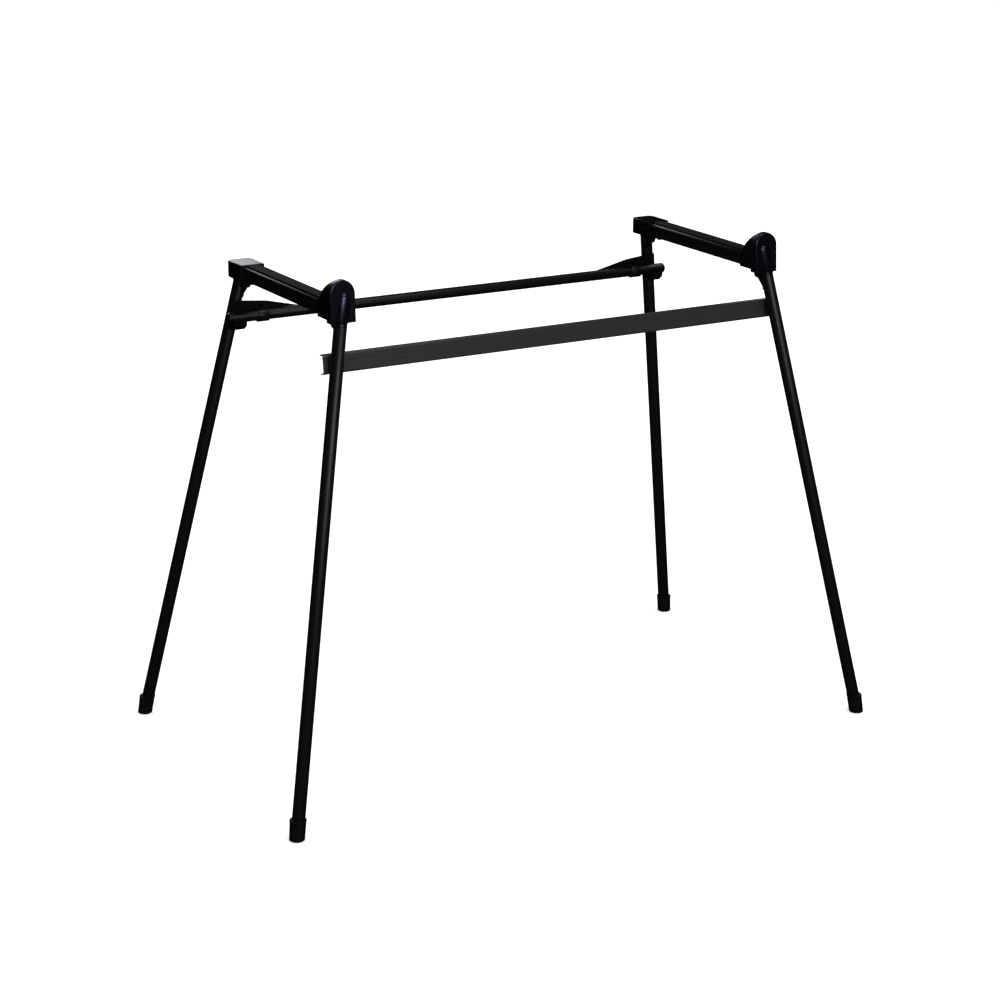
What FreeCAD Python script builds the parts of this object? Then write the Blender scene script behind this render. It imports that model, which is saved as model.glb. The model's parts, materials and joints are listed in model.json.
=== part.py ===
import FreeCAD, Part
import math
import os
from FreeCAD import Vector

# A folding keyboard stand in millimetres. +Z is up, +Y is the rear and +X the player's right.
# The origin is on the floor, in the middle of the four feet.
# Each corner piece is made once, at the rear right, and mirrored to the other corners.

# Stance of the legs: spreads of their axes at the floor and at the seats under the heads
feet_spread_x = 980.0
feet_spread_y = 543.0
seat_spread_x = 718.0
seat_spread_y = 327.0
seat_z = 699.5
seat_gap = 0.4
cut_overrun = 5.0
screw_clearance = 0.1

# Leg tubes and the plugs in their tops
leg_diameter = 19.0
leg_wall = 1.5
plug_flange = 3.0
plug_shank = 20.0
plug_clearance = 0.1

# Rubber feet, which stand a share more upright than the legs
foot_radius = 11.3
foot_top_radius = 12.2
foot_upright_share = 0.25
foot_height = 29.0
foot_floor = 6.0
foot_chamfer = 1.5
foot_chamfer_height = 3.0
foot_stand_z = 2.5

# Side arms, their heads and the rest pads
arm_width = 28.0
arm_height = 21.0
arm_wall = 1.5
arm_corner = 3.0
arm_rise = 4.0
arm_shift = 2.75
arm_end_y = 160.0
head_wall = 5.5
head_stop_height = 31.5
head_front_y = 126.0
head_rear_y = 168.0
head_lip = 3.0
head_clearance = 0.1
head_rear_lean = 4.0
head_crown = 10.0
head_rounding = 2.0
bulge_radius = 10.6
bulge_height = 41.5
bulge_rounding = 8.0
front_head_end_y = 175.5
front_head_corner = 9.0
front_head_rounding = 2.0
pad_width = 20.0
pad_thickness = 3.5
pad_gap = 3.0
pad_corner = 4.0
head_screw_radius = 2.0
head_screw_head_radius = 3.6
head_screw_head_height = 2.0
head_screw_reach = 4.0

# Hinges between the arms and the leg frames
hinge_drop = 5.5
hinge_offset = 16.6
hinge_inset = 2.5
hinge_clearance = 0.05
pin_radius = 2.5
pin_head_radius = 4.2
pin_head_height = 1.6
pin_head_rounding = 0.8
tab_thickness = 5.0
tab_knuckle_radius = 5.3
tab_tail = 24.0
tab_rise = 1.0
ear_thickness = 2.5
ear_gap = 0.4
ear_radius = 5.7
bracket_base = 3.0
bracket_length = 33.0
bracket_seat_gap = 0.5
bracket_screw_radius = 2.5
bracket_screw_head_radius = 4.5
bracket_screw_head_height = 2.4
bracket_screw_reach = 3.0
bracket_screw_places = (13.5, 26.0)

# Rear crossbar
bar_z = 644.5
bar_height = 28.2
bar_flange = 10.0
bar_wall = 2.0
bar_bend = 3.0
bar_overhang = 15.5
saddle_size = 18.0
saddle_thickness = 2.0
bolt_radius = 3.0
bolt_head_radius = 6.0
bolt_head_height = 2.6
bolt_head_rounding = 1.5
nut_radius = 4.5
nut_collar_radius = 5.6
nut_collar_reach = 4.4
nut_length = 9.0

# Front rail, with its plates, cradles and straps
rail_z = 647.3
rail_diameter = 16.0
rail_wall = 1.5
rail_overhang = 12.5
rail_plug_dome = 5.0
rail_plug_rounding = 4.0
rail_plug_shank = 16.0
plate_thickness = 2.5
plate_length = 103.0
plate_shoulder = 49.0
plate_top = 23.4
plate_shoulder_top = 18.0
plate_end = 5.0
plate_leg_inset = 3.0
plate_foot = 20.5
cradle_width = 20.0
cradle_wall = 2.5
cradle_drop = 18.5
cradle_chamfer = 8.0
cradle_screw_radius = 1.6
cradle_screw_head_radius = 2.8
cradle_screw_head_height = 2.5
cradle_screw_drop = 14.7
cradle_screw_depth = 9.0
strap_place = 39.0
strap_width = 18.0
strap_thickness = 2.0
strap_ear = 7.6
strap_screw_radius = 2.0
strap_screw_head_radius = 3.4
strap_screw_head_height = 2.2
strap_screw_reach = 3.0

# Values that follow from the ones above
half_x = feet_spread_x / 2
half_y = feet_spread_y / 2
slope_x = (feet_spread_x - seat_spread_x) / 2 / seat_z
slope_y = (feet_spread_y - seat_spread_y) / 2 / seat_z
frame_tilt = math.atan(slope_y)
leg_radius = leg_diameter / 2
plug_low_z = seat_z - seat_gap - plug_flange
arm_low_z = seat_z + arm_rise
arm_top_z = arm_low_z + arm_height
lip_z = arm_top_z + head_lip
head_top_z = lip_z + head_stop_height
bulge_top_z = seat_z + bulge_height
hinge_z = seat_z - hinge_drop
rail_radius = rail_diameter / 2
rail_inset = leg_radius + plate_thickness + rail_radius
plate_face = leg_radius + plate_thickness


def leg_point(z):
    """The leg's axis at a height."""
    return Vector(half_x - slope_x * z, half_y - slope_y * z, z)


head_x = leg_point(seat_z).x - arm_shift
head_width = arm_width + 2 * head_wall
hinge_x = leg_point(hinge_z).x - hinge_inset
hinge_y = leg_point(hinge_z).y - hinge_offset
seat_front_y = hinge_y + ear_radius + bracket_seat_gap
ear_reach = tab_thickness / 2 + ear_gap + ear_thickness


def box(x, y, z):
    """A box between the two values given for each axis."""
    return Part.makeBox(x[1] - x[0], y[1] - y[0], z[1] - z[0], Vector(x[0], y[0], z[0]))


def rod(radius, start, end):
    """A round rod from one point to another."""
    return Part.makeCylinder(radius, (end - start).Length, start, end - start)


def prism(points, along):
    """The flat outline through the points, drawn out along a vector."""
    return Part.Face(Part.makePolygon(points + points[:1])).extrude(along)


def leg_rod(radius, low_z, high_z):
    """A rod along the leg's axis with level ends at two heights."""
    whole = rod(radius, leg_point(low_z - 2 * radius), leg_point(high_z + 2 * radius))
    return whole.common(box((0, feet_spread_x), (0, feet_spread_y), (low_z, high_z)))


def tilted(shape):
    """Leans a piece drawn upright into the plane of the leg frame."""
    leaning = shape.copy()
    leaning.rotate(Vector(), Vector(1, 0, 0), math.degrees(frame_tilt))
    leaning.translate(Vector(0, half_y, 0))
    return leaning


def upright(z):
    """How far up the leg frame's plane a height lies."""
    return z / math.cos(frame_tilt)


def left(shape):
    return shape.mirror(Vector(), Vector(1, 0, 0))


def front(shape):
    return shape.mirror(Vector(), Vector(0, 1, 0))


def edges_along(shape, axis):
    """The straight edges that run along an axis, 0, 1 or 2 for X, Y or Z."""
    chosen = []
    for edge in shape.Edges:
        run = edge.Vertexes[-1].Point - edge.Vertexes[0].Point
        if run.Length > 0 and abs(abs(run[axis]) - run.Length) < Part.Precision.confusion() * run.Length:
            chosen.append(edge)
    return chosen


def rim(shape, axis, place):
    """The edges that lie at one place along an axis."""
    chosen = []
    for edge in shape.Edges:
        low = (edge.BoundBox.XMin, edge.BoundBox.YMin, edge.BoundBox.ZMin)[axis]
        high = (edge.BoundBox.XMax, edge.BoundBox.YMax, edge.BoundBox.ZMax)[axis]
        if abs(low - place) < seat_gap and abs(high - place) < seat_gap:
            chosen.append(edge)
    return chosen


# Legs, their top plugs and feet
def leg():
    outside = leg_rod(leg_radius, foot_floor, plug_low_z)
    return outside.cut(leg_rod(leg_radius - leg_wall, foot_floor - cut_overrun, plug_low_z + cut_overrun))


def leg_plug():
    flange = leg_rod(leg_radius, plug_low_z, seat_z - seat_gap)
    shank = leg_rod(leg_radius - leg_wall - plug_clearance, plug_low_z - plug_shank, plug_low_z)
    return flange.fuse(shank)


def foot():
    stand = leg_point(foot_stand_z)
    top = leg_point(foot_height)
    plumb = Vector(stand.x, stand.y, foot_height)
    rings = (
        (foot_radius - foot_chamfer, Vector(stand.x, stand.y, 0)),
        (foot_radius, Vector(stand.x, stand.y, foot_chamfer_height)),
        (foot_top_radius, top + (plumb - top) * foot_upright_share),
    )
    wires = [Part.Wire(Part.makeCircle(radius, centre)) for radius, centre in rings]
    return Part.makeLoft(wires, True, True).cut(leg_rod(leg_radius, foot_floor, foot_height + cut_overrun))


# Hinge pieces
def touch_point(centre, radius, point, turn):
    """Where a line from the point touches the circle, in the YZ plane, on the side that turn gives."""
    reach = centre - point
    angle = turn * math.asin(radius / reach.Length)
    along = reach * (math.sqrt(reach.Length ** 2 - radius ** 2) / reach.Length)
    y = along.y * math.cos(angle) - along.z * math.sin(angle)
    z = along.y * math.sin(angle) + along.z * math.cos(angle)
    return point + Vector(0, y, z)


def hinge_tab():
    x = hinge_x - tab_thickness / 2
    centre = Vector(x, hinge_y, hinge_z)
    upper = Vector(x, leg_point(hinge_z + tab_rise).y, hinge_z + tab_rise)
    lower = Vector(x, leg_point(hinge_z - tab_tail).y, hinge_z - tab_tail)
    over = touch_point(centre, tab_knuckle_radius, upper, -1)
    under = touch_point(centre, tab_knuckle_radius, lower, 1)
    nose = centre + (centre - (upper + lower) / 2).normalize() * tab_knuckle_radius
    outline = Part.Wire([
        Part.LineSegment(lower, under).toShape(),
        Part.Arc(under, nose, over).toShape(),
        Part.LineSegment(over, upper).toShape(),
        Part.LineSegment(upper, lower).toShape(),
    ])
    plate = Part.Face(outline).extrude(Vector(tab_thickness, 0, 0))
    plate = plate.cut(leg_rod(leg_radius, hinge_z - tab_tail - cut_overrun, seat_z))
    return plate.cut(hinge_bore(pin_radius + hinge_clearance))


def hinge_bore(radius):
    reach = Vector(ear_reach + cut_overrun, 0, 0)
    centre = Vector(hinge_x, hinge_y, hinge_z)
    return rod(radius, centre - reach, centre + reach)


def hinge_pin():
    reach = Vector(ear_reach, 0, 0)
    head = Vector(pin_head_height, 0, 0)
    centre = Vector(hinge_x, hinge_y, hinge_z)
    pin = rod(pin_radius, centre - reach, centre + reach)
    for side in (1, -1):
        button = rod(pin_head_radius, centre + reach * side, centre + (reach + head) * side)
        outer = (centre + (reach + head) * side).x
        pin = pin.fuse(button.makeFillet(pin_head_rounding, rim(button, 0, outer)))
    return pin


def bracket_screw_points():
    return [Vector(hinge_x, hinge_y - place, arm_low_z - bracket_base) for place in bracket_screw_places]


def hinge_bracket():
    base_low = arm_low_z - bracket_base
    plate = box((hinge_x - ear_reach, hinge_x + ear_reach),
                (hinge_y - bracket_length, hinge_y + ear_radius), (base_low, arm_low_z))
    for side in (1, -1):
        inner = hinge_x + side * (tab_thickness / 2 + ear_gap)
        outer = hinge_x + side * ear_reach
        span = (min(inner, outer), max(inner, outer))
        plate = plate.fuse(box(span, (hinge_y - ear_radius, hinge_y + ear_radius), (hinge_z, base_low)))
        plate = plate.fuse(rod(ear_radius, Vector(inner, hinge_y, hinge_z), Vector(outer, hinge_y, hinge_z)))
    plate = plate.cut(hinge_bore(pin_radius))
    for point in bracket_screw_points():
        up = Vector(0, 0, bracket_base + cut_overrun)
        plate = plate.cut(rod(bracket_screw_radius + screw_clearance, point - up, point + up))
    return plate.removeSplitter()


def bracket_screws():
    screws = []
    for point in bracket_screw_points():
        head = rod(bracket_screw_head_radius, point - Vector(0, 0, bracket_screw_head_height), point)
        tip = point + Vector(0, 0, bracket_base + arm_wall + bracket_screw_reach)
        screws.append(head.fuse(rod(bracket_screw_radius, point, tip)))
    return screws


# Side arm with its heads and rest pad
def head_screw_points():
    """Where the head screws enter the heads' inner sides, at the rear and at the front."""
    x = head_x - head_width / 2
    y = (head_front_y + seat_front_y) / 2
    z = (arm_low_z + arm_top_z) / 2
    return [Vector(x, y, z), Vector(x, -y, z)]


def head_screw(point):
    head = rod(head_screw_head_radius, point - Vector(head_screw_head_height, 0, 0), point)
    tip = point + Vector(head_wall + arm_wall + head_screw_reach, 0, 0)
    return head.fuse(rod(head_screw_radius, point, tip))


def head_screw_bore(point):
    reach = Vector(head_wall + arm_wall + cut_overrun, 0, 0)
    return rod(head_screw_radius + screw_clearance, point - reach, point + reach)


def arm_block(grow):
    half = arm_width / 2 + grow
    block = box((head_x - half, head_x + half), (-arm_end_y, arm_end_y), (arm_low_z - grow, arm_top_z + grow))
    return block.makeFillet(arm_corner + grow, edges_along(block, 1))


def side_arm():
    inside = arm_block(-arm_wall)
    for side in (1, -1):
        end = Vector(0, side * cut_overrun, 0)
        inside = inside.fuse(inside.translated(end))
    tube = arm_block(0).cut(inside)
    for point in bracket_screw_points():
        for mouth in (point, Vector(point.x, -point.y, point.z)):
            up = Vector(0, 0, bracket_base + arm_wall + cut_overrun)
            tube = tube.cut(rod(bracket_screw_radius + screw_clearance, mouth, mouth + up))
    for point in head_screw_points():
        tube = tube.cut(head_screw_bore(point))
    return tube


def head_cuts(body):
    """Opens a head for the arm's end, for the hinge bracket below it and for its screw."""
    low = seat_z - cut_overrun
    wide = (head_x - head_width, head_x + head_width)
    body = body.cut(box(wide, (0, seat_front_y), (low, arm_low_z)))
    body = body.cut(arm_block(head_clearance))
    half = arm_width / 2
    body = body.cut(box((head_x - half, head_x + half), (0, seat_front_y), (low, arm_low_z + arm_corner)))
    return body.cut(head_screw_bore(head_screw_points()[0]))


def rear_head():
    half = head_width / 2
    x = head_x - half
    crest_z = head_top_z + cut_overrun
    back_lean = head_rear_lean / (head_top_z - seat_z)
    front_y = head_rear_y - head_rear_lean - head_crown
    front_lean = (front_y - head_front_y) / (head_top_z - lip_z)
    profile = [
        Vector(x, head_rear_y, seat_z),
        Vector(x, head_rear_y - back_lean * (crest_z - seat_z), crest_z),
        Vector(x, head_front_y + front_lean * (crest_z - lip_z), crest_z),
        Vector(x, head_front_y, lip_z),
        Vector(x, head_front_y, seat_z),
    ]
    thumb = prism(profile, Vector(head_width, 0, 0))
    dome_z = head_top_z - half
    ahead = head_front_y - cut_overrun
    behind = head_rear_y + cut_overrun
    back_view = box((x, x + head_width), (ahead, behind), (seat_z, dome_z))
    back_view = back_view.fuse(rod(half, Vector(head_x, ahead, dome_z), Vector(head_x, behind, dome_z)))
    thumb = thumb.common(back_view.removeSplitter()).Solids[0]
    outlines = [edge for edge in thumb.Edges if min(edge.BoundBox.YLength, edge.BoundBox.ZLength) > seat_gap]
    thumb = thumb.makeFillet(head_rounding, outlines)
    bulge = rod(bulge_radius, leg_point(seat_z - 2 * bulge_radius), leg_point(bulge_top_z))
    bulge_end = max(bulge.Edges, key=lambda edge: edge.CenterOfMass.z)
    bulge = bulge.makeFillet(bulge_rounding, [bulge_end])
    bulge = bulge.common(box((x, x + head_width), (head_front_y, feet_spread_y), (seat_z, head_top_z)))
    return head_cuts(thumb.fuse(bulge))


def front_head():
    half = head_width / 2
    cap = box((head_x - half, head_x + half), (head_front_y, front_head_end_y), (arm_low_z, lip_z))
    outer = [edge for edge in edges_along(cap, 2) if edge.CenterOfMass.y > head_rear_y]
    cap = cap.makeFillet(front_head_corner, outer)
    top = [edge for edge in rim(cap, 2, lip_z) if edge.CenterOfMass.y > head_front_y + seat_gap]
    cap = cap.makeFillet(front_head_rounding, top)
    return head_cuts(cap.fuse(leg_rod(bulge_radius, seat_z, arm_low_z + arm_corner)))


def rest_pad():
    half = pad_width / 2
    reach = head_front_y - pad_gap
    pad = box((head_x - half, head_x + half), (-reach, reach), (arm_top_z, arm_top_z + pad_thickness))
    return pad.makeFillet(pad_corner, edges_along(pad, 2))


# Rear crossbar and what bolts it to the legs
def bar_point(inset):
    """A point beside the right leg at the crossbar's height, so far in from the leg's axis."""
    return Vector(leg_point(bar_z).x, -inset, upright(bar_z))


bar_face = leg_radius + saddle_thickness


def crossbar():
    half = leg_point(bar_z).x + bar_overhang
    mid = upright(bar_z)
    rise = bar_height / 2
    outside = box((-half, half), (-bar_face - bar_flange, -bar_face), (mid - rise, mid + rise))
    bends = [edge for edge in edges_along(outside, 0) if edge.CenterOfMass.y > -bar_face - bar_wall]
    outside = outside.makeFillet(bar_bend, bends)
    over = cut_overrun
    inside = box((-half - over, half + over), (-bar_face - bar_flange - over, -bar_face - bar_wall),
                 (mid - rise + bar_wall, mid + rise - bar_wall))
    bends = [edge for edge in edges_along(inside, 0) if edge.CenterOfMass.y > -bar_face - bar_flange]
    channel = outside.cut(inside.makeFillet(bar_bend - bar_wall, bends))
    channel = tilted(channel)
    return channel.cut(bolt_bore()).cut(left(bolt_bore()))


def bolt_bore():
    """The hole for a bolt through the channel's web."""
    reach = bar_face + bar_wall + cut_overrun
    return tilted(rod(bolt_radius + screw_clearance, bar_point(0), bar_point(reach)))


def nut_bore():
    """The hole for a rivet nut through the leg's inner wall and the saddle."""
    return tilted(rod(nut_radius + screw_clearance, bar_point(0), bar_point(bar_face)))


def crossbar_saddle():
    half = saddle_size / 2
    x = leg_point(bar_z).x
    mid = upright(bar_z)
    block = box((x - half, x + half), (-bar_face, -leg_radius / 2), (mid - half, mid + half))
    return tilted(block).cut(leg_rod(leg_radius, foot_height, plug_low_z)).cut(nut_bore())


def crossbar_bolt():
    seat = bar_face + bar_wall
    top = seat + bolt_head_height
    head = rod(bolt_head_radius, bar_point(seat), bar_point(top))
    head = head.makeFillet(bolt_head_rounding, rim(head, 1, -top))
    return tilted(head.fuse(rod(bolt_radius, bar_point(leg_radius - nut_length), bar_point(seat))))


def crossbar_nut():
    sleeve = rod(nut_radius, bar_point(leg_radius - nut_length), bar_point(leg_radius))
    collar = rod(nut_collar_radius, bar_point(leg_radius - nut_length), bar_point(nut_collar_reach))
    bore = rod(bolt_radius, bar_point(leg_radius - nut_length), bar_point(leg_radius))
    return tilted(sleeve.fuse(collar).cut(bore))


def rear_leg():
    return leg().cut(nut_bore())


# Front rail and what holds it to the legs, drawn at the rear and mirrored to the front
rail_x = leg_point(rail_z).x
rail_up = upright(rail_z)


def rail_point(x, inset, z=0):
    """A point at the rail's height: x, how far in from the legs' axes, and how far above the rail's axis."""
    return Vector(x, -inset, rail_up + z)


def rail_rod(radius, half):
    return rod(radius, rail_point(-half, rail_inset), rail_point(half, rail_inset))


def front_rail():
    half = rail_x + rail_overhang
    return tilted(rail_rod(rail_radius, half).cut(rail_rod(rail_radius - rail_wall, half + cut_overrun)))


def rail_end_plug():
    end = rail_x + rail_overhang
    tip = end + rail_plug_dome
    dome = rod(rail_radius, rail_point(end, rail_inset), rail_point(tip, rail_inset))
    dome = dome.makeFillet(rail_plug_rounding, rim(dome, 0, tip))
    inner = rail_radius - rail_wall - plug_clearance
    shank = rod(inner, rail_point(end - rail_plug_shank, rail_inset), rail_point(end, rail_inset))
    return tilted(dome.fuse(shank))


def rail_plate():
    lean = slope_x * math.cos(frame_tilt)
    outer = rail_x + leg_radius - plate_leg_inset
    lobe = rail_x - cradle_width / 2
    strap_low = rail_radius + strap_thickness
    strap_in = rail_x - strap_place - strap_width / 2
    strap_out = rail_x - strap_place + strap_width / 2
    points = [
        (outer + lean * plate_foot, -plate_foot),
        (outer - lean * plate_top, plate_top),
        (rail_x - plate_shoulder, plate_shoulder_top),
        (rail_x - plate_length, plate_end),
        (rail_x - plate_length, -plate_end),
        (strap_in, -plate_end),
        (strap_in, -strap_low),
        (strap_out, -strap_low),
        (strap_out, -plate_end),
        (lobe, -plate_end),
        (lobe, -plate_foot),
    ]
    plate = prism([rail_point(x, leg_radius, z) for x, z in points], Vector(0, -plate_thickness, 0))
    return tilted(plate.cut(strap_screw_bore()).cut(cradle_screw_bore()))


def rail_cradle():
    half = cradle_width / 2
    deep = rail_inset + rail_radius + cradle_wall
    x = rail_x - half
    points = [
        rail_point(x, plate_face, -cradle_drop),
        rail_point(x, deep - cradle_chamfer, -cradle_drop),
        rail_point(x, deep, -cradle_drop + cradle_chamfer),
        rail_point(x, deep),
        rail_point(x, plate_face),
    ]
    block = prism(points, Vector(cradle_width, 0, 0)).cut(rail_rod(rail_radius, rail_x + rail_overhang))
    start = rail_point(rail_x, plate_face + cradle_screw_depth, -cradle_screw_drop)
    mouth = rod(cradle_screw_head_radius + screw_clearance, start, start - Vector(0, deep, 0))
    return tilted(block.cut(mouth).cut(cradle_screw_bore()))


def cradle_screw_bore():
    start = rail_point(rail_x, leg_radius, -cradle_screw_drop)
    depth = plate_thickness + cradle_screw_depth
    return rod(cradle_screw_radius, start, start - Vector(0, depth, 0))


def cradle_screw():
    seat = rail_point(rail_x, plate_face + cradle_screw_depth, -cradle_screw_drop)
    head = rod(cradle_screw_head_radius, seat, seat - Vector(0, cradle_screw_head_height, 0))
    return tilted(cradle_screw_bore().fuse(head))


def strap_loop(radius):
    """A bar with a half-round back that passes over the rail from the plate, at the strap's place."""
    x = (rail_x - strap_place - strap_width / 2, rail_x - strap_place + strap_width / 2)
    flank = box(x, (-rail_inset, -plate_face), (rail_up - radius, rail_up + radius))
    back = rod(radius, rail_point(x[0], rail_inset), rail_point(x[1], rail_inset))
    rear_half = box(x, (-rail_inset - radius, -rail_inset), (rail_up - radius, rail_up + radius))
    return flank.fuse(back.common(rear_half))


def rail_strap():
    outer = rail_radius + strap_thickness
    x = (rail_x - strap_place - strap_width / 2, rail_x - strap_place + strap_width / 2)
    ear = box(x, (-plate_face - strap_thickness, -plate_face),
              (rail_up + rail_radius, rail_up + outer + strap_ear))
    strap = strap_loop(outer).fuse(ear).removeSplitter().cut(strap_loop(rail_radius))
    return tilted(strap.cut(strap_screw_bore()))


def strap_screw_spot(inset):
    return rail_point(rail_x - strap_place, inset, rail_radius + strap_thickness + strap_ear / 2)


def strap_screw_bore():
    return rod(strap_screw_radius, strap_screw_spot(leg_radius - strap_screw_reach),
               strap_screw_spot(plate_face + strap_thickness))


def strap_screw():
    seat = plate_face + strap_thickness
    top = seat + strap_screw_head_height
    head = rod(strap_screw_head_radius, strap_screw_spot(seat), strap_screw_spot(top))
    return tilted(strap_screw_bore().fuse(head))


def save(node, *solids):
    shape = solids[0] if len(solids) == 1 else Part.makeCompound(list(solids))
    shape.exportStep("parts/" + node + ".step")


def save_pair(node, shape):
    """Saves a piece of the right side and its mirror image on the left."""
    save(node + "_right", shape)
    save(node + "_left", left(shape))


def both_sides(shapes):
    return list(shapes) + [left(shape) for shape in shapes]


os.makedirs("parts", exist_ok=True)

save_pair("rear_leg", rear_leg())
save_pair("front_leg", front(leg()))
save_pair("rear_leg_plug", leg_plug())
save_pair("front_leg_plug", front(leg_plug()))
save_pair("rear_foot", foot())
save_pair("front_foot", front(foot()))

save_pair("side_arm", side_arm())
save_pair("rear_head", rear_head())
save_pair("front_head", front(front_head()))
save_pair("rest_pad", rest_pad())
save("head_screws", *both_sides([head_screw(point) for point in head_screw_points()]))

save_pair("rear_hinge_tab", hinge_tab())
save_pair("front_hinge_tab", front(hinge_tab()))
save_pair("rear_hinge_bracket", hinge_bracket())
save_pair("front_hinge_bracket", front(hinge_bracket()))
save("rear_hinge_pins", *both_sides([hinge_pin()]))
save("front_hinge_pins", *both_sides([front(hinge_pin())]))
save("hinge_bracket_screws", *both_sides(bracket_screws() + [front(screw) for screw in bracket_screws()]))

save("rear_crossbar", crossbar())
save("crossbar_saddles", *both_sides([crossbar_saddle()]))
save("crossbar_bolts", *both_sides([crossbar_bolt()]))
save("crossbar_nuts", *both_sides([crossbar_nut()]))

save("front_rail", front(front_rail()))
save_pair("rail_end_plug", front(rail_end_plug()))
save_pair("rail_plate", front(rail_plate()))
save_pair("rail_cradle", front(rail_cradle()))
save("rail_cradle_screws", *both_sides([front(cradle_screw())]))
save_pair("rail_strap", front(rail_strap()))
save("rail_strap_screws", *both_sides([front(strap_screw())]))
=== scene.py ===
"""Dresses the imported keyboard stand: finishes for steel, plastic and rubber, and small made pieces."""

import json
import math
from collections import namedtuple

import bmesh
import bpy
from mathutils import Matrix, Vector


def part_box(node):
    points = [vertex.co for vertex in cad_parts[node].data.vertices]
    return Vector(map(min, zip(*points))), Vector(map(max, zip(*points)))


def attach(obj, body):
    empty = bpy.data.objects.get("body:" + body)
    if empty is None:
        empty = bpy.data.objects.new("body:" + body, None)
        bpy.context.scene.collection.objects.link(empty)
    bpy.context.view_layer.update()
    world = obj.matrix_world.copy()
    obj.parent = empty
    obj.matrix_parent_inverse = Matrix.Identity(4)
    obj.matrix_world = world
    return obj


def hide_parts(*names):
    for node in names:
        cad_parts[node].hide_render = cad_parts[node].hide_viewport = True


bl_info = {
    "name": "Keyboard Stand",
    "version": (1, 0, 0),
    "blender": (4, 5, 0),
    "location": "3D View > Sidebar > Stand",
    "description": "Finishes and small pieces of a folding keyboard stand",
    "category": "Object",
}

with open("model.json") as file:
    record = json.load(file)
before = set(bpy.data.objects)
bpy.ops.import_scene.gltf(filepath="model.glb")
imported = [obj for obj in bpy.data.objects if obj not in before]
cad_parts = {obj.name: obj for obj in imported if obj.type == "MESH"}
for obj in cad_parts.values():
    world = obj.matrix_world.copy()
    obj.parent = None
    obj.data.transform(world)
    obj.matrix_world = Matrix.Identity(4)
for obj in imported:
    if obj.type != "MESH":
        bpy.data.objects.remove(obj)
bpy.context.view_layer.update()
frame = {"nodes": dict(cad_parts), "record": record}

MM = 0.001
SIDES = (("right", 1), ("left", -1))
ENDS = (("rear", 1), ("front", -1))
ROUND_POINTS = 48
SCREW_POINTS = 24
BEAD_POINTS = 12
TINY = 0.001 * MM
EDGE_SEGMENTS = 2
EDGE_ANGLE = math.radians(35)
SHARP_ANGLE = math.radians(40)
STEEP_SHARE = 0.9


class StandSizes(bpy.types.PropertyGroup):
    """Sizes of the pieces that are made here."""

    leg_radius: bpy.props.FloatProperty(
        name="Leg radius", description="Outer radius of a leg tube", default=9.5 * MM, unit="LENGTH")
    foot_radius: bpy.props.FloatProperty(
        name="Foot radius", description="Radius of a rubber foot near the floor", default=11.3 * MM,
        unit="LENGTH")
    foot_top_radius: bpy.props.FloatProperty(
        name="Foot top radius", description="Radius of a rubber foot at its rim", default=12.2 * MM,
        unit="LENGTH")
    foot_rim: bpy.props.FloatProperty(
        name="Foot rim", description="Height of the rolled rim of a foot", default=2.6 * MM, unit="LENGTH")
    sole_groove: bpy.props.FloatProperty(
        name="Sole groove", description="Depth of the ring grooves in a sole", default=0.9 * MM,
        unit="LENGTH")
    rib_pitch: bpy.props.FloatProperty(
        name="Rib pitch", description="Distance between the ribs on a rest pad", default=3.2 * MM,
        unit="LENGTH")
    rib_height: bpy.props.FloatProperty(
        name="Rib height", description="How far the ribs stand up from a rest pad", default=1.2 * MM,
        unit="LENGTH")
    pad_corner: bpy.props.FloatProperty(
        name="Pad corner", description="Corner radius of a rest pad", default=4.0 * MM, unit="LENGTH")
    weld_radius: bpy.props.FloatProperty(
        name="Weld radius", description="Radius of a weld bead", default=1.5 * MM, unit="LENGTH")
    weld_ripple: bpy.props.FloatProperty(
        name="Weld ripple", description="Distance between the ripples of a weld bead", default=1.7 * MM,
        unit="LENGTH")
    thread_pitch: bpy.props.FloatProperty(
        name="Thread pitch", description="Pitch of the screws' threads", default=0.8 * MM, unit="LENGTH")
    steel_edge: bpy.props.FloatProperty(
        name="Steel edge", description="Width of the broken edges of cut and pressed steel",
        default=0.5 * MM, unit="LENGTH")
    plastic_edge: bpy.props.FloatProperty(
        name="Plastic edge", description="Width of the soft edges of the mouldings", default=0.7 * MM,
        unit="LENGTH")


class StandColours(bpy.types.PropertyGroup):
    """Colours of the finishes, as sRGB hex values."""

    coat: bpy.props.StringProperty(
        name="Tube coat", description="Powder coat on the tubes and plates", default="#070708")
    channel: bpy.props.StringProperty(
        name="Channel coat", description="Powder coat on the rear channel", default="#202023")
    plastic: bpy.props.StringProperty(
        name="Moulded plastic", description="Heads, plugs and cradles", default="#040407")
    rubber: bpy.props.StringProperty(
        name="Rubber", description="Feet and rest pads", default="#040404")
    oxide: bpy.props.StringProperty(
        name="Black oxide", description="Screws, bolts, nuts and pins", default="#2B2B2E")
    floor: bpy.props.StringProperty(
        name="Floor", description="The pale floor of the stage", default="#F8F8F8")


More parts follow.
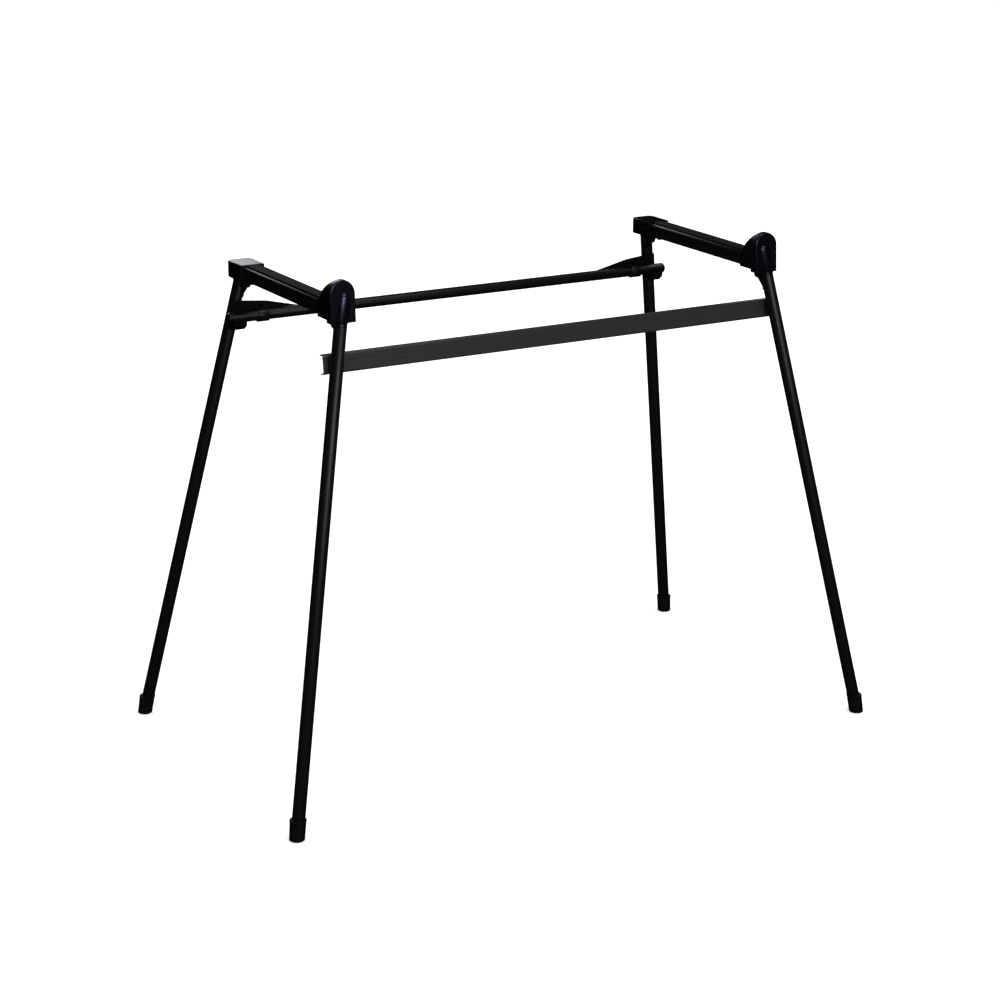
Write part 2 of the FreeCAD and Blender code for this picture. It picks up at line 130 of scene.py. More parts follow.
class StandStage(bpy.types.PropertyGroup):
    """Camera and lights of the stage."""

    camera_place: bpy.props.FloatVectorProperty(
        name="Camera place", description="Where the camera stands, behind the stand", size=3,
        default=(1.8757, 3.1683, 1.4862), subtype="TRANSLATION", unit="LENGTH")
    camera_turn: bpy.props.FloatVectorProperty(
        name="Camera turn", description="How the camera is turned", size=3,
        default=(math.radians(72.824), math.radians(-0.482), math.radians(149.614)), subtype="EULER",
        unit="ROTATION")
    lens: bpy.props.FloatProperty(
        name="Lens", description="Focal length on a 36 mm sensor", default=90.52, unit="CAMERA")
    room: bpy.props.FloatProperty(
        name="Room light", description="Strength of the even light all round", default=1.12)
    key: bpy.props.FloatProperty(
        name="Key light", description="Power of the wide softbox beside the camera", default=48.0,
        unit="POWER")
    top: bpy.props.FloatProperty(
        name="Top light", description="Power of the high soft light over the stand", default=40.0,
        unit="POWER")
    fill: bpy.props.FloatProperty(
        name="Fill light", description="Power of the soft lights on the player's side", default=40.0,
        unit="POWER")


def linear(hex_colour):
    """Linear RGBA of an sRGB hex colour."""
    values = [int(hex_colour[place:place + 2], 16) / 255 for place in (1, 3, 5)]
    bent = [v / 12.92 if v <= 0.04045 else ((v + 0.055) / 1.055) ** 2.4 for v in values]
    return (*bent, 1.0)


def add_node(tree, kind, settings=None, links=None):
    """Adds a shader node with its settings, given by property or by socket, and the links to its inputs."""
    node = tree.nodes.new(kind)
    for key, value in (settings or {}).items():
        if hasattr(node, key):
            setattr(node, key, value)
        else:
            node.inputs[key].default_value = value
    for key, source in (links or {}).items():
        tree.links.new(source, node.inputs[key])
    return node


def new_material(name, settings):
    """A material with a Principled shader whose plain sockets are set, with its tree and its shader."""
    material = bpy.data.materials.new(name)
    material.use_nodes = True
    tree = material.node_tree
    tree.nodes.clear()
    shader = add_node(tree, "ShaderNodeBsdfPrincipled", settings)
    add_node(tree, "ShaderNodeOutputMaterial", None, {"Surface": shader.outputs[0]})
    return material, tree, shader


def grain_scale(size_mm):
    """Noise scale whose features are about so many millimetres across, for object coordinates in metres."""
    return 1 / (size_mm * MM)


def powder_coat(name, hex_colour):
    """Powder-coated steel, sprayed and baked: a satin skin with fine orange peel and uneven gloss."""
    settings = {"Base Color": linear(hex_colour), "IOR": 1.5, "Specular IOR Level": 0.4}
    material, tree, shader = new_material(name, settings)
    place = add_node(tree, "ShaderNodeTexCoord").outputs["Object"]
    # Orange peel of a baked coat is 1 to 2 mm across
    peel = add_node(tree, "ShaderNodeTexNoise", {"Scale": grain_scale(1.6), "Detail": 2.0},
                    {"Vector": place})
    drift = add_node(tree, "ShaderNodeTexNoise", {"Scale": grain_scale(45.0), "Detail": 3.0},
                     {"Vector": place})
    gloss = add_node(tree, "ShaderNodeMapRange", {"To Min": 0.34, "To Max": 0.46},
                     {"Value": drift.outputs[0]})
    bump = add_node(tree, "ShaderNodeBump", {"Strength": 0.12, "Distance": 0.15 * MM},
                    {"Height": peel.outputs[0]})
    tree.links.new(gloss.outputs[0], shader.inputs["Roughness"])
    tree.links.new(bump.outputs[0], shader.inputs["Normal"])
    return material


SHEEN_TINT = "#D6CFFF"


def moulded_abs(name, hex_colour):
    """ABS moulded in a spark-eroded tool: a fine even grain and a soft bluish-black sheen."""
    settings = {"Base Color": linear(hex_colour), "IOR": 1.53, "Specular IOR Level": 0.8,
                "Specular Tint": linear(SHEEN_TINT)}
    material, tree, shader = new_material(name, settings)
    place = add_node(tree, "ShaderNodeTexCoord").outputs["Object"]
    # Spark-eroded grain is about 0.2 mm, drawn at 0.6 mm so that it shows
    grain = add_node(tree, "ShaderNodeTexVoronoi", {"Scale": grain_scale(0.6)}, {"Vector": place})
    drift = add_node(tree, "ShaderNodeTexNoise", {"Scale": grain_scale(18.0), "Detail": 2.0},
                     {"Vector": place})
    gloss = add_node(tree, "ShaderNodeMapRange", {"To Min": 0.24, "To Max": 0.32},
                     {"Value": drift.outputs[0]})
    bump = add_node(tree, "ShaderNodeBump", {"Strength": 0.10, "Distance": 0.06 * MM},
                    {"Height": grain.outputs["Distance"]})
    tree.links.new(gloss.outputs[0], shader.inputs["Roughness"])
    tree.links.new(bump.outputs[0], shader.inputs["Normal"])
    return material


BLOOM_GAIN = 2.4
# Places of the two colours and of the result among the sockets of a colour mix
MIX_FIRST = 6
MIX_SECOND = 7
MIX_RESULT = 2


def moulded_rubber(name, hex_colour):
    """Vulcanised rubber from a blasted mould: matt, with a dusty bloom in broad soft patches."""
    settings = {"IOR": 1.52, "Specular IOR Level": 0.08}
    material, tree, shader = new_material(name, settings)
    place = add_node(tree, "ShaderNodeTexCoord").outputs["Object"]
    bloom = add_node(tree, "ShaderNodeTexNoise", {"Scale": grain_scale(9.0), "Detail": 4.0},
                     {"Vector": place})
    base = linear(hex_colour)
    dusty = [min(1.0, value * BLOOM_GAIN) for value in base[:3]] + [1.0]
    tint = add_node(tree, "ShaderNodeMix", {"data_type": "RGBA"}, {"Factor": bloom.outputs[0]})
    tint.inputs[MIX_FIRST].default_value = base
    tint.inputs[MIX_SECOND].default_value = dusty
    # A blasted mould leaves pits of about 0.3 mm, drawn at 0.7 mm so that they show
    pits = add_node(tree, "ShaderNodeTexNoise", {"Scale": grain_scale(0.7), "Detail": 1.0},
                    {"Vector": place})
    gloss = add_node(tree, "ShaderNodeMapRange", {"To Min": 0.5, "To Max": 0.66},
                     {"Value": bloom.outputs[0]})
    bump = add_node(tree, "ShaderNodeBump", {"Strength": 0.18, "Distance": 0.1 * MM},
                    {"Height": pits.outputs[0]})
    tree.links.new(tint.outputs[MIX_RESULT], shader.inputs["Base Color"])
    tree.links.new(gloss.outputs[0], shader.inputs["Roughness"])
    tree.links.new(bump.outputs[0], shader.inputs["Normal"])
    return material


def black_oxide(name, hex_colour):
    """Turned steel blackened in a hot oxide bath: a dark metal with faint lathe marks and oily patches."""
    settings = {"Base Color": linear(hex_colour), "Metallic": 1.0}
    material, tree, shader = new_material(name, settings)
    place = add_node(tree, "ShaderNodeTexCoord").outputs["Object"]
    patches = add_node(tree, "ShaderNodeTexNoise", {"Scale": grain_scale(3.0), "Detail": 3.0},
                       {"Vector": place})
    marks = add_node(tree, "ShaderNodeTexNoise", {"Scale": grain_scale(0.5), "Detail": 1.0},
                     {"Vector": place})
    gloss = add_node(tree, "ShaderNodeMapRange", {"To Min": 0.32, "To Max": 0.52},
                     {"Value": patches.outputs[0]})
    bump = add_node(tree, "ShaderNodeBump", {"Strength": 0.1, "Distance": 0.05 * MM},
                    {"Height": marks.outputs[0]})
    tree.links.new(gloss.outputs[0], shader.inputs["Roughness"])
    tree.links.new(bump.outputs[0], shader.inputs["Normal"])
    return material


def material_for(slot):
    """The finish of one of the record's material slots, made at its first use."""
    colours = bpy.context.scene.stand_colours
    makers = {
        "black_coated_steel": ("Satin powder-coated steel", powder_coat, colours.coat),
        "grey_coated_steel": ("Charcoal powder-coated channel", powder_coat, colours.channel),
        "black_plastic": ("Moulded ABS", moulded_abs, colours.plastic),
        "black_rubber": ("Moulded rubber", moulded_rubber, colours.rubber),
        "black_fastener_steel": ("Black-oxide steel", black_oxide, colours.oxide),
    }
    name, maker, colour = makers[slot]
    return bpy.data.materials.get(name) or maker(name, colour)


def slot_nodes(slot):
    """Names of the CAD nodes that the record gives to a material slot."""
    return [part["node"] for part in frame["record"]["subparts"] if part["material_slot"] == slot]


def dress(names, slot, edge):
    """Gives CAD nodes a finish and softly broken edges of a width."""
    material = material_for(slot)
    for name in names:
        node = frame["nodes"][name]
        node.data.materials.clear()
        node.data.materials.append(material)
        weld = node.modifiers.new("Joined edges", "WELD")
        weld.merge_threshold = TINY
        bevel = node.modifiers.new("Broken edges", "BEVEL")
        bevel.width = edge
        bevel.segments = EDGE_SEGMENTS
        bevel.limit_method = "ANGLE"
        bevel.angle_limit = EDGE_ANGLE
        bevel.harden_normals = True


def new_piece(name, mesh_maker, slot, body, *replaced):
    """Makes a piece from a bmesh, with its finish, on its body, in place of the CAD nodes named."""
    bm = bmesh.new()
    mesh_maker(bm)
    bmesh.ops.recalc_face_normals(bm, faces=bm.faces)
    mesh = bpy.data.meshes.new(name)
    bm.to_mesh(mesh)
    bm.free()
    mesh.shade_smooth()
    mesh.set_sharp_from_angle(angle=SHARP_ANGLE)
    piece = bpy.data.objects.new(name, mesh)
    bpy.context.scene.collection.objects.link(piece)
    piece.data.materials.append(material_for(slot))
    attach(piece, body)
    if replaced:
        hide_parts(*replaced)


# Where the legs and the fasteners are, read from the frame
def leg_axis(end, side):
    """The two ends of a leg's axis, at its foot and at its head."""
    radius = bpy.context.scene.stand_sizes.leg_radius
    end_sign = dict(ENDS)[end]
    side_sign = dict(SIDES)[side]
    low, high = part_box(end + "_leg_" + side)
    outer = Vector((max(low.x * side_sign, high.x * side_sign) * side_sign,
                    max(low.y * end_sign, high.y * end_sign) * end_sign, low.z))
    inner = Vector((min(low.x * side_sign, high.x * side_sign) * side_sign,
                    min(low.y * end_sign, high.y * end_sign) * end_sign, high.z))
    turn = Vector((side_sign, end_sign, 0)) * radius
    return outer - turn, inner + turn


def leg_point(end, side, z):
    """The leg's axis at a height."""
    foot, head = leg_axis(end, side)
    return foot.lerp(head, (z - foot.z) / (head.z - foot.z))


def inward(end):
    """The way in from a leg frame's plane, square to it."""
    foot, head = leg_axis(end, "right")
    end_sign = dict(ENDS)[end]
    lean = math.atan2((foot.y - head.y) * end_sign, head.z - foot.z)
    return Vector((0, -end_sign * math.cos(lean), -math.sin(lean)))


def solids_of(node):
    """The points of each separate solid of a CAD node."""
    bm = bmesh.new()
    bm.from_mesh(frame["nodes"][node].data)
    bmesh.ops.remove_doubles(bm, verts=bm.verts, dist=TINY)
    found = []
    for start in bm.verts:
        if start.tag:
            continue
        start.tag = True
        waiting = [start]
        points = []
        while waiting:
            vert = waiting.pop()
            points.append(vert.co.copy())
            for edge in vert.link_edges:
                other = edge.other_vert(vert)
                if not other.tag:
                    other.tag = True
                    waiting.append(other)
        found.append(points)
    bm.free()
    return found


def plane_axes(axis):
    """Two unit vectors square to an axis and to each other."""
    across = axis.cross(Vector((0, 0, 1)) if abs(axis.z) < STEEP_SHARE else Vector((1, 0, 0))).normalized()
    return across, axis.cross(across).normalized()


Fastener = namedtuple("Fastener", "middle axis tip seat top shank_radius head_radius")


def measure_fastener(points, axis):
    """Reads a screw's or bolt's sizes from its solid; the axis points out of its head."""
    middle = Vector()
    for direction in plane_axes(axis):
        reach = [point.dot(direction) for point in points]
        middle += direction * (min(reach) + max(reach)) / 2
    along = [point.dot(axis) for point in points]
    far = [(point - middle - axis * place).length for point, place in zip(points, along)]
    edge = (min(far) + max(far)) / 2
    seat = min(place for place, radius in zip(along, far) if radius > edge)
    return Fastener(middle, axis, min(along), seat, max(along), min(far), max(far))


# Mesh helpers
def add_ring(bm, points):
    """The points of a ring as new vertices."""
    return [bm.verts.new(point) for point in points]


def bridge(bm, low, high):
    """Joins two rings of as many points with a band of faces."""
    count = len(low)
    for i in range(count):
        j = (i + 1) % count
        bm.faces.new((low[i], low[j], high[j], high[i]))


def add_stack(bm, rings, closed_top=True):
    """A skin through rings of points, with a flat face over the first and, if closed, over the last."""
    made = [add_ring(bm, ring) for ring in rings]
    for low, high in zip(made, made[1:]):
        bridge(bm, low, high)
    bm.faces.new(list(reversed(made[0])))
    if closed_top:
        bm.faces.new(made[-1])
    return made


def circle(centre, radius, across, up, count):
    """Points round a centre in the plane of two unit vectors."""
    points = []
    for i in range(count):
        angle = 2 * math.pi * i / count
        points.append(centre + across * (radius * math.cos(angle)) + up * (radius * math.sin(angle)))
    return points


CROSS_ARM_SHARE = 0.28


def cross_outline(reach):
    """The outline of a cross recess whose arms reach so far from its middle."""
    half = reach * CROSS_ARM_SHARE
    quarter = [(reach, -half), (reach, half), (half, half)]
    points = []
    for turn in range(4):
        for x, y in quarter:
            for _ in range(turn):
                x, y = -y, x
            points.append((x, y))
    return points


def hex_outline(reach):
    """The outline of a hexagon socket whose corners are so far from its middle."""
    angles = [math.pi / 3 * i for i in range(6)]
    return [(reach * math.cos(angle), reach * math.sin(angle)) for angle in angles]


# Shapes of the heads, as shares of the head's height and radius
PAN_HEAD = ((0.0, 0.96), (0.08, 1.0), (0.5, 1.0), (0.72, 0.96), (0.88, 0.87), (0.97, 0.75), (1.0, 0.62))
BUTTON_HEAD = ((0.0, 0.97), (0.06, 1.0), (0.2, 1.0), (0.5, 0.92), (0.75, 0.79), (0.92, 0.64), (1.0, 0.52))
CROSS_SHARE = 0.5
SOCKET_SHARE = 0.44
RECESS_DEPTH_SHARE = 0.62
RECESS_FLOOR_SHARE = 0.72
THREAD_STEPS = 6
THREAD_DEPTH_SHARE = 0.14


def add_fastener(bm, fastener, head_shape, outline, pitch):
    """A screw or bolt: a threaded shank, a shaped head and a recess of the outline given in its top."""
    across, up = plane_axes(fastener.axis)

    def point(place, x, y):
        return fastener.middle + fastener.axis * place + across * x + up * y

    rings = []
    length = fastener.seat - fastener.tip
    steps = max(2, round(length / pitch * THREAD_STEPS))
    for step in range(steps + 1):
        place = fastener.tip + length * step / steps
        ring = []
        for i in range(SCREW_POINTS):
            turn = i / SCREW_POINTS
            phase = ((place - fastener.tip) / pitch - turn) % 1
            cut = THREAD_DEPTH_SHARE * abs(2 * phase - 1)
            radius = fastener.shank_radius * (1 - cut)
            angle = 2 * math.pi * turn
            ring.append(point(place, radius * math.cos(angle), radius * math.sin(angle)))
        rings.append(ring)
    height = fastener.top - fastener.seat
    for height_share, radius_share in head_shape:
        centre = point(fastener.seat + height * height_share, 0, 0)
        rings.append(circle(centre, fastener.head_radius * radius_share, across, up, SCREW_POINTS))
    top = add_stack(bm, rings, closed_top=False)[-1]
    mouth = add_ring(bm, [point(fastener.top, x, y) for x, y in outline])
    edges = [bm.edges.new((a, b)) for a, b in zip(mouth, mouth[1:] + mouth[:1])]
    edges += [bm.edges.get((a, b)) for a, b in zip(top, top[1:] + top[:1])]
    bmesh.ops.triangle_fill(bm, use_beauty=True, use_dissolve=False, edges=edges, normal=fastener.axis)
    depth = fastener.top - height * RECESS_DEPTH_SHARE
    floor = add_ring(bm, [point(depth, x * RECESS_FLOOR_SHARE, y * RECESS_FLOOR_SHARE) for x, y in outline])
    bridge(bm, mouth, floor)
    bm.faces.new(floor)


# The sole's rings: shares of the groove's depth and of the foot's radius
SOLE_SHARES = (
    (0, 0.22), (0, 0.30), (1, 0.33), (1, 0.42), (0, 0.45),
    (0, 0.56), (1, 0.59), (1, 0.68), (0, 0.71),
)
# The sole's rounded edge: heights above the floor and insets from the foot's radius
SOLE_EDGE = ((0.0, 1.5 * MM), (0.4 * MM, 0.8 * MM), (1.4 * MM, 0.25 * MM), (3.0 * MM, 0.0))
SIDE_SHARES = (0.1, 0.4, 0.7, 0.95)
SIDE_INSET = 0.25 * MM
# The rolled rim: the height and inset of its lip, then drops from its top and insets from its radius
RIM_LIP = (0.3 * MM, 0.05 * MM)
RIM_ROLL = ((0.8 * MM, 0.0), (0.2 * MM, 0.15 * MM), (0.0, 0.5 * MM))
# The mouth round the leg: drops from the rim's top and gaps to the leg
FOOT_MOUTH = ((0.0, 0.15 * MM), (0.8 * MM, -0.2 * MM))


def add_foot(bm, centre_low, centre_high, leg_centre, sizes):
    """A rubber cap: grooved sole, rounded edge, plain side, rolled rim and a mouth for the leg."""
    height = centre_high.z - centre_low.z
    low = sizes.foot_radius
    high = sizes.foot_top_radius
    rim_low = height - sizes.foot_rim
    profile = [(depth * sizes.sole_groove, low * share) for depth, share in SOLE_SHARES]
    profile += [(z, low - inset) for z, inset in SOLE_EDGE]
    side_low = SOLE_EDGE[-1][0]
    for share in SIDE_SHARES:
        z = side_low + share * (rim_low - side_low)
        profile.append((z, low + (high - low) * z / height - SIDE_INSET))
    lip_height, lip_inset = RIM_LIP
    profile += [(rim_low, high - SIDE_INSET), (rim_low + lip_height, high - lip_inset)]
    profile += [(height - drop, high - inset) for drop, inset in RIM_ROLL]
    across, up = Vector((1, 0, 0)), Vector((0, 1, 0))
    rings = []
    for z, radius in profile:
        rings.append(circle(centre_low.lerp(centre_high, z / height), radius, across, up, ROUND_POINTS))
    for drop, gap in FOOT_MOUTH:
        centre = leg_centre - Vector((0, 0, drop))
        rings.append(circle(centre, sizes.leg_radius + gap, across, up, ROUND_POINTS))
    add_stack(bm, rings)


RIB_STEPS = 8
RIB_POWER = 0.6
PAD_ROUND_STEPS = 6
PAD_END_DROP = 0.9 * MM
PAD_SIDE_SHARE = 0.8
PAD_SIDE_STEP = 0.3 * MM


def add_pad(bm, low, high, sizes):
    """A moulded rest strip with ribs along it, rounded corners and softened ends."""
    half = (high.x - low.x) / 2
    middle = (high.x + low.x) / 2
    thickness = high.z - low.z
    base = thickness - sizes.rib_height
    ribs = int(2 * half / sizes.rib_pitch)
    section = [(-half, 0.0), (-half, base * PAD_SIDE_SHARE), (-half + PAD_SIDE_STEP, base)]
    margin = half - ribs * sizes.rib_pitch / 2
    for step in range(ribs * RIB_STEPS + 1):
        x = -half + margin + sizes.rib_pitch * step / RIB_STEPS
        rise = (0.5 - 0.5 * math.cos(2 * math.pi * step / RIB_STEPS)) ** RIB_POWER
        section.append((x, base + sizes.rib_height * rise))
    section += [(half - PAD_SIDE_STEP, base), (half, base * PAD_SIDE_SHARE), (half, 0.0)]

    places = []
    corner = sizes.pad_corner
    for step in range(PAD_ROUND_STEPS + 1):
        angle = math.pi / 2 * step / PAD_ROUND_STEPS
        inset = corner * (1 - math.sin(angle))
        places.append((corner * (1 - math.cos(angle)), (half - inset) / half))
    rings = []
    for end_y, way, order in ((low.y, 1, places), (high.y, -1, list(reversed(places)))):
        for distance, narrowing in order:
            drop = PAD_END_DROP * max(0.0, 1 - distance / (corner / 2)) ** 2
            ring = []
            for x, z in section:
                lift = max(0.0, z - drop)
                ring.append(Vector((middle + x * narrowing, end_y + way * distance, low.z + lift)))
            rings.append(ring)
    add_stack(bm, rings)


BEAD_STEPS = 5
BEAD_LEAST_STEPS = 4
BEAD_SWELL_SHARE = 0.16
BEAD_TIP_SHARE = 0.25


def add_bead(bm, path, facing, radius, ripple):
    """A weld bead along a path of points: a round cord of ripples that thins out at both ends."""
    lengths = [0.0]
    for a, b in zip(path, path[1:]):
        lengths.append(lengths[-1] + (b - a).length)
    total = lengths[-1]
    steps = max(BEAD_LEAST_STEPS, round(total / ripple * BEAD_STEPS))
    centres = []
    for step in range(steps + 1):
        along = total * step / steps
        place = next(i for i in range(1, len(path)) if along <= lengths[i] + TINY)
        share = (along - lengths[place - 1]) / (lengths[place] - lengths[place - 1])
        centres.append(path[place - 1].lerp(path[place], share))
    rings = []
    for step, centre in enumerate(centres):
        along = total * step / steps
        ahead = centres[min(step + 1, steps)] - centres[max(step - 1, 0)]
        across = ahead.cross(facing).normalized()
        up = across.cross(ahead).normalized()
        ends = min(1.0, min(along, total - along) / radius)
        thin = BEAD_TIP_SHARE + (1 - BEAD_TIP_SHARE) * math.sqrt(1 - (1 - ends) ** 2)
        swell = 1 - BEAD_SWELL_SHARE * (1 - abs(math.sin(math.pi * along / ripple)))
        rings.append(circle(centre, radius * thin * swell, across, up, BEAD_POINTS))
    add_stack(bm, rings)


WELD_SINK_SHARE = 0.9
TIP_STEPS = 8


def tab_weld_path(end, side, sizes):
    """Down one side of a hinge tab, round its lower tip and up the other side, along the leg's skin."""
    end_sign = dict(ENDS)[end]
    low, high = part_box(end + "_hinge_tab_" + side)
    ears_low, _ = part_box(end + "_hinge_bracket_" + side)
    top_z = ears_low.z - 2 * sizes.weld_radius
    half = (high.x - low.x) / 2 + sizes.weld_radius / 3
    middle = (high.x + low.x) / 2

    def on_leg(x, z):
        centre = leg_point(end, side, z)
        depth = math.sqrt(max(0.0, sizes.leg_radius ** 2 - (x - centre.x) ** 2))
        return Vector((x, centre.y - end_sign * depth, z))

    path = [on_leg(middle - half, top_z)]
    for step in range(TIP_STEPS + 1):
        angle = math.pi * step / TIP_STEPS
        path.append(on_leg(middle - half * math.cos(angle), low.z - sizes.weld_radius * math.sin(angle)))
    path.append(on_leg(middle + half, top_z))
    return path


def plate_weld_paths(side, sizes):
    """Two lines beside the contact of a rail plate and its leg, in the grooves between them."""
    low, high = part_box("rail_plate_" + side)
    foot, head = leg_axis("front", side)
    way_in = inward("front")
    sideways = (head - foot).normalized().cross(way_in).normalized()
    depth = sizes.leg_radius - WELD_SINK_SHARE * sizes.weld_radius
    aside = math.sqrt(sizes.leg_radius ** 2 - depth ** 2)
    paths = []
    for way in (1, -1):
        path = []
        for z in (low.z + 2 * sizes.weld_radius, high.z - 2 * sizes.weld_radius):
            path.append(leg_point("front", side, z) + way_in * depth + sideways * (aside * way))
        paths.append(path)
    return paths


class STAND_OT_steel(bpy.types.Operator):
    """Finish the coated tubes, arms, plates and brackets"""
    bl_idname = "stand.steel"
    bl_label = "Coated steel"

    def execute(self, context):
        edge = context.scene.stand_sizes.steel_edge
        dress(slot_nodes("black_coated_steel"), "black_coated_steel", edge)
        dress(slot_nodes("grey_coated_steel"), "grey_coated_steel", edge)
        return {"FINISHED"}


class STAND_OT_welds(bpy.types.Operator):
    """Lay the weld beads at the hinge tabs and the rail plates"""
    bl_idname = "stand.welds"
    bl_label = "Weld beads"

    def execute(self, context):
        sizes = context.scene.stand_sizes
        for side, _ in SIDES:
            for end, _ in ENDS:
                path = tab_weld_path(end, side, sizes)
                new_piece(
                    end + "_hinge_tab_weld_" + side,
                    lambda bm: add_bead(bm, path, inward(end), sizes.weld_radius, sizes.weld_ripple),
                    "black_coated_steel", end + "_frame")
            for path, place in zip(plate_weld_paths(side, sizes), ("a", "b")):
                new_piece(
                    "rail_plate_weld_" + side + "_" + place,
                    lambda bm: add_bead(bm, path, inward("front"), sizes.weld_radius, sizes.weld_ripple),
                    "black_coated_steel", "front_frame")
        return {"FINISHED"}


class STAND_OT_plastic(bpy.types.Operator):
    """Finish the moulded heads, plugs and cradles"""
    bl_idname = "stand.plastic"
    bl_label = "Moulded plastic"

    def execute(self, context):
        dress(slot_nodes("black_plastic"), "black_plastic", context.scene.stand_sizes.plastic_edge)
        return {"FINISHED"}


class STAND_OT_pins(bpy.types.Operator):
    """Finish the hinge pins and the rivet nuts"""
    bl_idname = "stand.pins"
    bl_label = "Pins and nuts"

    def execute(self, context):
        names = ["rear_hinge_pins", "front_hinge_pins", "crossbar_nuts"]
        dress(names, "black_fastener_steel", context.scene.stand_sizes.steel_edge / 2)
        return {"FINISHED"}


class STAND_OT_screws(bpy.types.Operator):
    """Make the cross-recess screws and the hexagon-socket bolts"""
    bl_idname = "stand.screws"
    bl_label = "Screws and bolts"

    def execute(self, context):
        pitch = context.scene.stand_sizes.thread_pitch
        down = Vector((0, 0, -1))
        kinds = (
            ("hinge_bracket_screws", "top_frame", lambda points: down),
            ("head_screws", "top_frame", lambda points: Vector((math.copysign(1, -points[0].x), 0, 0))),
            ("rail_strap_screws", "front_frame", lambda points: inward("front")),
            ("rail_cradle_screws", "front_frame", lambda points: inward("front")),
            ("crossbar_bolts", "rear_frame", lambda points: inward("rear")),
        )
        for node, body, axis_of in kinds:
            fasteners = [measure_fastener(points, axis_of(points)) for points in solids_of(node)]

            def make(bm):
                for fastener in fasteners:
                    if node == "crossbar_bolts":
                        outline = hex_outline(fastener.head_radius * SOCKET_SHARE)
                        add_fastener(bm, fastener, BUTTON_HEAD, outline, pitch)
                    else:
                        outline = cross_outline(fastener.head_radius * CROSS_SHARE)
                        add_fastener(bm, fastener, PAN_HEAD, outline, pitch)

            new_piece(node + "_threaded", make, "black_fastener_steel", body, node)
        return {"FINISHED"}


class STAND_OT_feet(bpy.types.Operator):
    """Make the rubber feet"""
    bl_idname = "stand.feet"
    bl_label = "Rubber feet"

    def execute(self, context):
        sizes = context.scene.stand_sizes
        for end, end_sign in ENDS:
            for side, side_sign in SIDES:
                node = end + "_foot_" + side
                low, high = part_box(node)
                outer_x, inner_x = (high.x, low.x) if side_sign > 0 else (low.x, high.x)
                outer_y, inner_y = (high.y, low.y) if end_sign > 0 else (low.y, high.y)
                turn = Vector((side_sign, end_sign, 0))
                centre_low = Vector((outer_x, outer_y, low.z)) - turn * sizes.foot_radius
                centre_high = Vector((inner_x, inner_y, high.z)) + turn * sizes.foot_top_radius
                leg_centre = leg_point(end, side, high.z)
                new_piece(
                    node + "_rubber", lambda bm: add_foot(bm, centre_low, centre_high, leg_centre, sizes),
                    "black_rubber", end + "_frame", node)
        return {"FINISHED"}


class STAND_OT_pads(bpy.types.Operator):
    """Make the ribbed rubber rest pads"""
    bl_idname = "stand.pads"
    bl_label = "Rest pads"

    def execute(self, context):
        sizes = context.scene.stand_sizes
        for side, _ in SIDES:
            node = "rest_pad_" + side
            low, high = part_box(node)
            new_piece(
                node + "_ribbed", lambda bm: add_pad(bm, low, high, sizes),
                "black_rubber", "top_frame", node)
        return {"FINISHED"}


SENSOR_WIDTH = 36.0
SIGHT_END = 200.0
FLOOR_HALF = 30.0
WHITE = (1.0, 1.0, 1.0, 1.0)
LIGHT_AIM = Vector((0, 0, 0.45))
# Each light's name, place and size, and the stage value that holds its power
LIGHTS = (
    ("Softbox", (0.66, 3.8, 1.75), (2.4, 1.3), "key"),
    ("Top light", (-0.6, 1.6, 4.6), (2.0, 2.0), "top"),
    ("Right fill", (-3.8, -1.6, 1.6), (2.0, 2.0), "fill"),
    ("Front fill", (-0.4, -4.2, 2.2), (2.4, 2.4), "fill"),
)


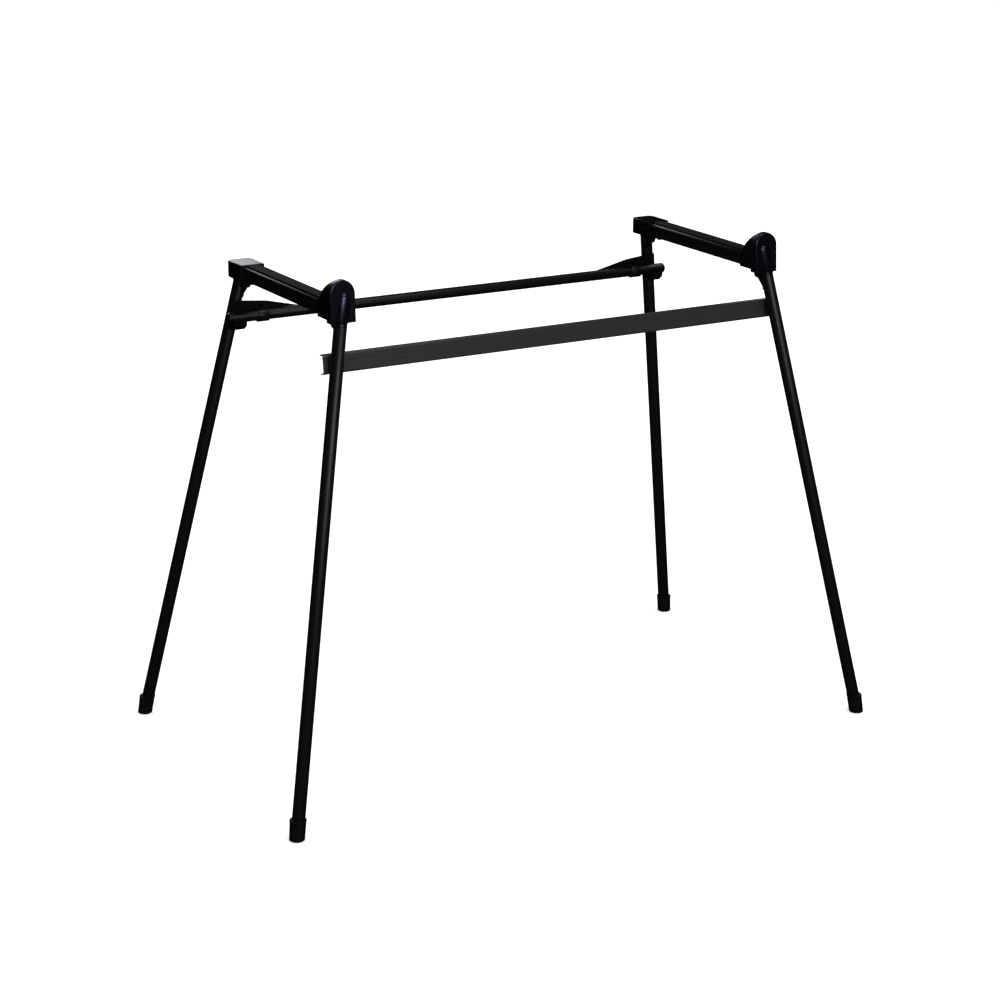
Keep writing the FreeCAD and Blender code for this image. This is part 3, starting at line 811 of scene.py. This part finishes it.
class STAND_OT_stage(bpy.types.Operator):
    """Set the camera, the pale floor and the soft light"""
    bl_idname = "stand.stage"
    bl_label = "Stage"

    def execute(self, context):
        scene = context.scene
        stage = scene.stand_stage
        camera = bpy.data.objects.new("Camera", bpy.data.cameras.new("Camera"))
        scene.collection.objects.link(camera)
        camera.location = stage.camera_place
        camera.rotation_euler = stage.camera_turn
        camera.data.sensor_width = SENSOR_WIDTH
        camera.data.lens = stage.lens
        camera.data.clip_end = SIGHT_END
        scene.camera = camera
        scene.view_settings.view_transform = "Standard"

        floor_mesh = bpy.data.meshes.new("floor")
        half = FLOOR_HALF
        corners = [(-half, -half, 0), (half, -half, 0), (half, half, 0), (-half, half, 0)]
        floor_mesh.from_pydata(corners, [], [(0, 1, 2, 3)])
        floor = bpy.data.objects.new("floor", floor_mesh)
        scene.collection.objects.link(floor)
        paper, _, _ = new_material("Matt paper floor", {
            "Base Color": linear(scene.stand_colours.floor), "Roughness": 0.9, "Specular IOR Level": 0.1})
        floor.data.materials.append(paper)
        floor.visible_glossy = False

        world = bpy.data.worlds.new("Soft room")
        world.use_nodes = True
        background = world.node_tree.nodes["Background"]
        background.inputs[0].default_value = WHITE
        background.inputs[1].default_value = stage.room
        scene.world = world
        world.cycles_visibility.glossy = False
        for name, place, size, power in LIGHTS:
            light = bpy.data.objects.new(name, bpy.data.lights.new(name, "AREA"))
            light.data.shape = "RECTANGLE"
            light.data.size, light.data.size_y = size
            light.data.energy = getattr(stage, power)
            light.location = place
            light.visible_camera = False
            aim = LIGHT_AIM - Vector(place)
            light.rotation_euler = aim.to_track_quat("-Z", "Y").to_euler()
            scene.collection.objects.link(light)
        return {"FINISHED"}


OPERATORS = (
    STAND_OT_steel, STAND_OT_welds, STAND_OT_plastic, STAND_OT_pins,
    STAND_OT_screws, STAND_OT_feet, STAND_OT_pads, STAND_OT_stage,
)


class STAND_PT_panel(bpy.types.Panel):
    """Lists the steps that dress the stand"""
    bl_label = "Keyboard Stand"
    bl_idname = "STAND_PT_panel"
    bl_space_type = "VIEW_3D"
    bl_region_type = "UI"
    bl_category = "Stand"

    def draw(self, context):
        scene = context.scene
        for operator in OPERATORS:
            self.layout.operator(operator.bl_idname)
        for group in (scene.stand_sizes, scene.stand_colours, scene.stand_stage):
            for name in group.bl_rna.properties.keys():
                if name not in ("rna_type", "name"):
                    self.layout.prop(group, name)


CLASSES = (StandSizes, StandColours, StandStage, *OPERATORS, STAND_PT_panel)


def register():
    for cls in CLASSES:
        bpy.utils.register_class(cls)
    bpy.types.Scene.stand_sizes = bpy.props.PointerProperty(type=StandSizes)
    bpy.types.Scene.stand_colours = bpy.props.PointerProperty(type=StandColours)
    bpy.types.Scene.stand_stage = bpy.props.PointerProperty(type=StandStage)


def unregister():
    del bpy.types.Scene.stand_stage
    del bpy.types.Scene.stand_colours
    del bpy.types.Scene.stand_sizes
    for cls in reversed(CLASSES):
        bpy.utils.unregister_class(cls)


def main():
    register()
    bpy.ops.stand.steel()
    bpy.ops.stand.welds()
    bpy.ops.stand.plastic()
    bpy.ops.stand.pins()
    bpy.ops.stand.screws()
    bpy.ops.stand.feet()
    bpy.ops.stand.pads()
    bpy.ops.stand.stage()


if __name__ == "__main__":
    main()
